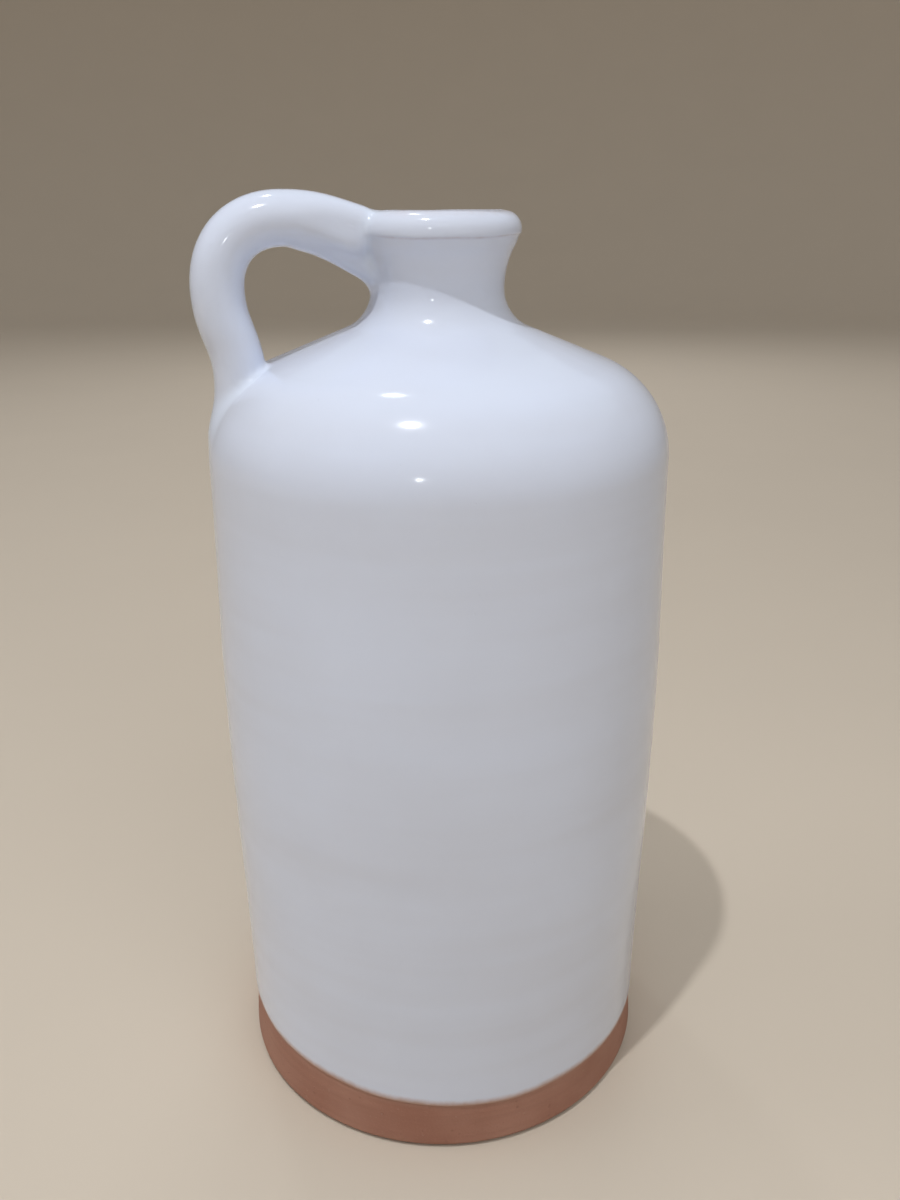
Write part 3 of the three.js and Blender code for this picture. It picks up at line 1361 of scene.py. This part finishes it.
    def _onto(self, points: np.ndarray) -> np.ndarray:
        """Moves points that lie close to the form straight on to it.

        Args:
            points: one row for each point.

        Returns:
            The moved points.
        """
        step, least_slope = 2e-5, 0.3
        here = self.whole(points)
        slope = np.stack([self.whole(points + step * axis) - here for axis in np.eye(3)], axis=1) / step
        steep = np.maximum((slope**2).sum(axis=1), least_slope)
        return points - (here / steep)[:, None] * slope

    def _cast(self, points: np.ndarray, normals: np.ndarray) -> np.ndarray:
        """Brings points down on to the form along their normals, from outside.

        Args:
            points: one row for each point.
            normals: their normals.

        Returns:
            The points on the form.
        """
        rise = np.full(len(points), self.reach)
        for _ in range(self.backward_steps):
            inside = self.whole(points + normals * rise[:, None]) < 0
            rise[inside] -= self.step_back
        for _ in range(self.cast_steps):
            rise -= self.cast_pace * self.whole(points + normals * rise[:, None])
        settled = points + normals * rise[:, None]
        log.info("%d points cast, worst %.3f mm off", len(points), 1000 * np.abs(self.whole(settled)).max())
        return settled

    def unevened(self, bm: bmesh.types.BMesh) -> None:
        """Adds the potter's unevenness and the wavy glaze line.

        Args:
            bm: the fine skin.
        """
        points = coordinates(bm.verts)
        free = smooth_step(*self.uneven_from, self.on_handle(points))
        points = self.hand.shift(points, free)
        share = 1 - smooth_step(*self.wavy_below, points[:, 2])
        points[:, 2] += share * (self.hand.line(points[:, 0], turns(points)) - self.hand.glaze_line)
        place_points(bm.verts, points)

    def thin(self, points: np.ndarray) -> np.ndarray:
        """How thin the glaze lies, most at its edge and a little on the lip's crest; along the lip's lower
        edge the value is partly thin glaze and partly painted shade of the crease under the band.

        Args:
            points: one row for each point.

        Returns:
            0 at each point where the glaze is full and 1 where it ends.
        """
        turn, radius, z = turns(points), radii(points), points[:, 2]
        edge = np.clip(1 - (z - self.hand.line(points[:, 0], turn)) / self.thin_height, 0, 1)
        crest = bell(*self.crest_line, z) * (radius < self.crest_radius)
        near, far = self.lip_thin_and_shade_radii
        # painted shade, partly thin glaze: a thin warm dark line just under the lip's band, where the crease
        # lies in shadow
        lip = bell(*self.lip_thin_and_shade_line, z - self.hand.band(turn)) * (radius > near) * (radius < far)
        free = smooth_step(0.0, self.lip_free, self.on_handle(points))
        return edge + (0.25 * crest + 0.33 * lip) * free

    def pool(self, points: np.ndarray) -> np.ndarray:
        """How much glaze has gathered in the creases round the handle."""
        clay, handle = self.on_clay(points), self.on_handle(points)
        return np.clip(1 - np.maximum(np.abs(clay), np.abs(handle)) / self.pool_reach, 0, 1)

    def build(self, finish: WhiteGlaze) -> bpy.types.Object:
        """Makes the coat.

        Args:
            finish: the glaze.

        Returns:
            The piece.
        """
        bm = self.subdivided(self.cage())
        self.settle(bm)
        self.unevened(bm)
        bmesh.ops.solidify(bm, geom=bm.faces[:], thickness=self.thickness)
        traits = {Trait.THIN_GLAZE_AND_SHADE: self.thin, Trait.POOL: self.pool}
        return finished(bm, "dipped_glaze", finish.material(), Node.OUTER_GLAZE, traits)


@dataclass
class ClayBody:
    """The thrown body, of which the foot shows bare below the glaze."""

    section: Section
    hand: Hand
    columns: int = 160
    edge_lift: float = 0.0005
    under_shares: tuple[float, ...] = (0.0, 0.12, 0.3, 0.5, 0.7, 0.85, 0.905)
    bare_rows: float = 0.0006
    bare_span: tuple[float, ...] = (0.001, 0.003, 0.017, 0.021)
    groove_pitch: float = 0.0031
    groove_depth: float = 0.000025
    groove_sway: float = 0.0004
    chatter: float = 0.00008
    halo_reach: float = 0.0022
    wear_insets: Point = (0.004, 0.001)
    wear_heights: Point = (0.0012, 0.003)

    def rows(self) -> list[Point]:
        """Section of the clay, close together on the bare foot.

        Returns:
            Radius and height of each row, from under the foot round to the middle of the floor.
        """
        s = self.section
        toe_top = s.foot_round + self.edge_lift
        under = [(share * s.foot_radius, 0.0) for share in self.under_shares]
        toe = arc((s.foot_radius - s.foot_round, toe_top), s.foot_round, -90, 0, 8)
        low_wall, high_wall, shoulder, fillet, _ = s.side(0.0, s.foot_round)
        bare = np.arange(toe_top + 0.0005, 0.0200, self.bare_rows)
        heights = [*bare, *np.arange(0.024, 0.172, 0.012)]
        side = at_heights(heights, np.concatenate([low_wall, high_wall]))
        neck = s.under_lip(0.0)[[0, 4, 8, 12, 16, 17, 18, 19]]
        band = s.lip(0.0, np.linspace(s.lip_start, 90, 9))
        inner = [*s.mouth(0.0)[5::5], *s.inside(0.0)[::-6], (0.0, s.floor)]
        return section_rows([under, toe, side, shoulder[::4], fillet[::5], neck, band, inner])

    def build(self, clay: bpy.types.Material) -> bpy.types.Object:
        """Makes the body.

        Args:
            clay: its finish.

        Returns:
            The piece.
        """
        bm = turned(self.rows(), self.columns)
        points = coordinates(bm.verts)
        points = self.hand.shift(points, np.ones(len(points)))
        turn, z = turns(points), points[:, 2]
        bare = plateau(self.bare_span, z)
        groove = np.sin(2 * np.pi * (z + self.groove_sway * np.sin(turn)) / self.groove_pitch)
        out = self.groove_depth * groove * bare + self.chatter * np.sin(9 * turn) * bare
        grow = 1 + out / np.maximum(radii(points), 0.02)
        points[:, :2] *= grow[:, None]
        place_points(bm.verts, points)
        traits = {Trait.HALO: self.halo, Trait.WEAR: self.wear}
        return finished(bm, "thrown_clay", clay, Node.BODY, traits)

    def halo(self, points: np.ndarray) -> np.ndarray:
        """Pale bloom on the clay just below the glaze line."""
        below = self.hand.line(points[:, 0], turns(points)) - points[:, 2]
        return np.clip(1 - below / self.halo_reach, 0, 1) ** 2

    def wear(self, points: np.ndarray) -> np.ndarray:
        """Rubbed edge of the foot."""
        edge = smooth_step(*(self.section.foot_radius - inset for inset in self.wear_insets), radii(points))
        return edge * (1 - smooth_step(*self.wear_heights, points[:, 2]))


@dataclass
class HandleClay:
    """The pulled handle and the soft clay that bonds it to the lip, both under the glaze."""

    form: HandleForm
    hand: Hand
    stops: int = 44
    segments: int = 36
    end_length: float = 0.002
    end_turns: tuple[float, ...] = (78.0, 54.0, 28.0)

    def build(self, clay: bpy.types.Material, luting: bpy.types.Material) -> list[bpy.types.Object]:
        """Makes the handle and its upper luting clay.

        Args:
            clay: finish of the handle.
            luting: finish of the luting clay.

        Returns:
            Both pieces.
        """
        handle, web = self.form.roll(0.0), self.form.web(0.0)
        to_shoulder = handle.along[-1] - self.form.tail_length
        return [
            finished(self._rounded(handle, to_shoulder), "pulled_handle", clay, Node.HANDLE),
            finished(self._rounded(web, web.along[-1]), "wiped_web", luting, Node.UPPER_LUTING),
        ]

    def _rounded(self, roll: Roll, length: float) -> bmesh.types.BMesh:
        """Sweeps a roll with rounded ends.

        Args:
            roll: the roll without its coat.
            length: how far along the roll it goes.

        Returns:
            The closed mesh.
        """
        frames = [roll.frame_at(float(stop)) for stop in np.linspace(0.0, length, self.stops)]
        start = [self._ending(frames[0], -self.end_length, turn) for turn in self.end_turns]
        end = [self._ending(frames[-1], self.end_length, turn) for turn in self.end_turns[::-1]]
        bm = bmesh.new()
        for ring in swept(bm, start + frames + end, self.segments):
            bmesh.ops.edgeloop_fill(bm, edges=ring)
        bmesh.ops.recalc_face_normals(bm, faces=bm.faces)
        points = coordinates(bm.verts)
        place_points(bm.verts, self.hand.shift(points, np.zeros(len(points))))
        return bm

    @staticmethod
    def _ending(frame_there: Matrix, cap: float, turn: float) -> Matrix:
        """Frame of a smaller section on a rounded end.

        Args:
            frame_there: frame of the roll's last full section.
            cap: length of the end, less than zero before the roll.
            turn: how far round the end, in degrees.

        Returns:
            The smaller section's frame.
        """
        angle = math.radians(turn)
        small = Matrix.Diagonal((math.cos(angle), math.cos(angle), 1.0, 1.0))
        return frame_there @ Matrix.Translation((0.0, 0.0, cap * math.sin(angle))) @ small


@dataclass
class Lining:
    """The poured glaze inside."""

    section: Section
    hand: Hand
    depth: float = 0.0005
    thickness: float = 0.0004
    columns: int = 96

    def build(self, finish: PouredGlaze) -> bpy.types.Object:
        """Makes the lining.

        Args:
            finish: the glaze.

        Returns:
            The piece.
        """
        rows = section_rows([self.section.inside(self.depth)[:-6:4]])
        bm = turned(rows, self.columns)
        bmesh.ops.reverse_faces(bm, faces=bm.faces[:])
        points = coordinates(bm.verts)
        place_points(bm.verts, self.hand.shift(points, np.ones(len(points))))
        bm.normal_update()
        bmesh.ops.solidify(bm, geom=bm.faces[:], thickness=self.thickness)
        return finished(bm, "poured_lining", finish.material(), Node.INNER_GLAZE)


@dataclass(frozen=True)
class Lamp:
    """A square soft lamp that points at the bottle."""

    name: str
    direction: tuple[float, float, float]
    distance: float
    size: float
    power: float
    mirrored: bool = True
    colour: tuple[float, float, float] = (0.97, 1.0, 1.05)

    def build(self, aim: Vector) -> bpy.types.Object:
        """Hangs the lamp.

        Args:
            aim: the place that it points at.

        Returns:
            The lamp.
        """
        data = bpy.data.lights.new(self.name, "AREA")
        data.size = self.size
        data.energy = self.power
        data.color = self.colour
        lamp = linked(self.name, data)
        towards = Vector(self.direction).normalized()
        lamp.location = aim + towards * self.distance
        lamp.rotation_euler = towards.to_track_quat("Z", "Y").to_euler()
        lamp.visible_glossy = self.mirrored
        return lamp


@dataclass
class Studio:
    """Pale floor with a round cove, lamps, sky and camera."""

    floor_colour: Colour = (0.63, 0.545, 0.44, 1.0)
    floor_radius: float = 3.2
    cove: float = 1.0
    height: float = 1.9
    floor_drop: float = 0.00005
    floor_mottle: float = 0.97
    sky: float = 0.40
    sky_colour: Colour = (0.97, 0.985, 1.0, 1.0)
    aim_height: float = 0.16
    camera_place: tuple[float, float, float] = (-0.0507, -0.2511, 0.2301)
    heading: float = 12.0
    pitch: float = 20.92
    tilt: float = -0.29
    lens: float = 30.6
    lamps: tuple[Lamp, ...] = (
        Lamp("key", (-0.2289, -0.2542, 0.9397), 1.0, 0.022, 3.95),
        Lamp("front_softbox", (0.103, -0.736, 0.669), 0.6, 0.45, 1.1, False),
        Lamp("left_softbox", (-0.945, 0.201, 0.259), 1.6, 0.8, 4.8, False),
        Lamp("back_softbox", (0.25, 0.83, 0.5), 1.6, 0.8, 4.0, False),
        Lamp("back_lamp", (-0.086, 0.437, 0.896), 2.4, 0.13, 2.6),
        Lamp("low_lamp", (-0.35, -0.894, 0.28), 2.4, 0.05, 1.3),
    )

    def build(self) -> None:
        """Sets up floor, lamps, sky, camera and view."""
        self._floor()
        for lamp in self.lamps:
            lamp.build(Vector((0.0, 0.0, self.aim_height)))
        self._sky()
        self._camera()
        bpy.context.scene.view_settings.view_transform = "Standard"

    def _floor(self) -> None:
        """Spins the floor and its cove."""
        r, c = self.floor_radius, self.cove
        curve = arc((r - c, c), c, -90, 0, 16)
        rows = [(0.0, 0.0), (0.3, 0.0), *map(tuple, curve), (r, self.height)]
        bm = turned(rows, 96)
        bmesh.ops.reverse_faces(bm, faces=bm.faces[:])
        bmesh.ops.translate(bm, verts=bm.verts, vec=(0.0, 0.0, -self.floor_drop))
        mesh = smooth_mesh(bm, "floor")
        shader = Shader("floor_paper")
        mottle = tuple(self.floor_mottle * v for v in self.floor_colour)
        shade = shader.mix(shader.noise(scale=9.0), self.floor_colour, mottle)
        mesh.materials.append(shader.close({"Base Color": shade, "Roughness": 0.9}))
        linked("floor", mesh)

    def _sky(self) -> None:
        """Gives the even light from all round."""
        world = bpy.data.worlds.new("sky")
        world.use_nodes = True
        background = world.node_tree.nodes["Background"]
        background.inputs["Color"].default_value = self.sky_colour
        background.inputs["Strength"].default_value = self.sky
        bpy.context.scene.world = world

    def _camera(self) -> None:
        """Places the camera where the picture was taken from."""
        data = bpy.data.cameras.new("camera")
        data.lens = self.lens
        data.sensor_width = 36.0
        data.clip_start = 0.01
        camera = linked("camera", data)
        turn = Matrix.Rotation(math.radians(-self.heading), 4, "Z")
        nod = Matrix.Rotation(math.radians(90 - self.pitch), 4, "X")
        lean = Matrix.Rotation(math.radians(self.tilt), 4, "Z")
        camera.matrix_world = Matrix.Translation(self.camera_place) @ turn @ nod @ lean
        bpy.context.scene.camera = camera


def main() -> None:
    """Builds the pieces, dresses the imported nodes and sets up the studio."""
    logging.basicConfig(level=logging.INFO, format="%(name)s: %(message)s")
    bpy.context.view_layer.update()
    clay_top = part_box(Node.BODY.value)[1]
    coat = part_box(Node.OUTER_GLAZE.value)[1].x - clay_top.x
    section = Section(lip_height=clay_top.z, belly_radius=clay_top.x)
    form = HandleForm(section, crown_top=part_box(Node.HANDLE.value)[1].z)
    hand = Hand()
    clay = BareClay().material()
    luting = LUTING_CLAY.material()
    GlazeSkin(section, form, hand, coat).build(WhiteGlaze())
    ClayBody(section, hand).build(clay)
    HandleClay(form, hand).build(clay, luting)
    Lining(section, hand).build(PouredGlaze())
    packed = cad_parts[Node.LOWER_LUTING.value].data
    packed.materials.clear()
    packed.materials.append(luting)
    log.info("%s: packed solid with the luting clay's finish", Node.LOWER_LUTING.value)
    Studio().build()


if __name__ == "__main__":
    main()
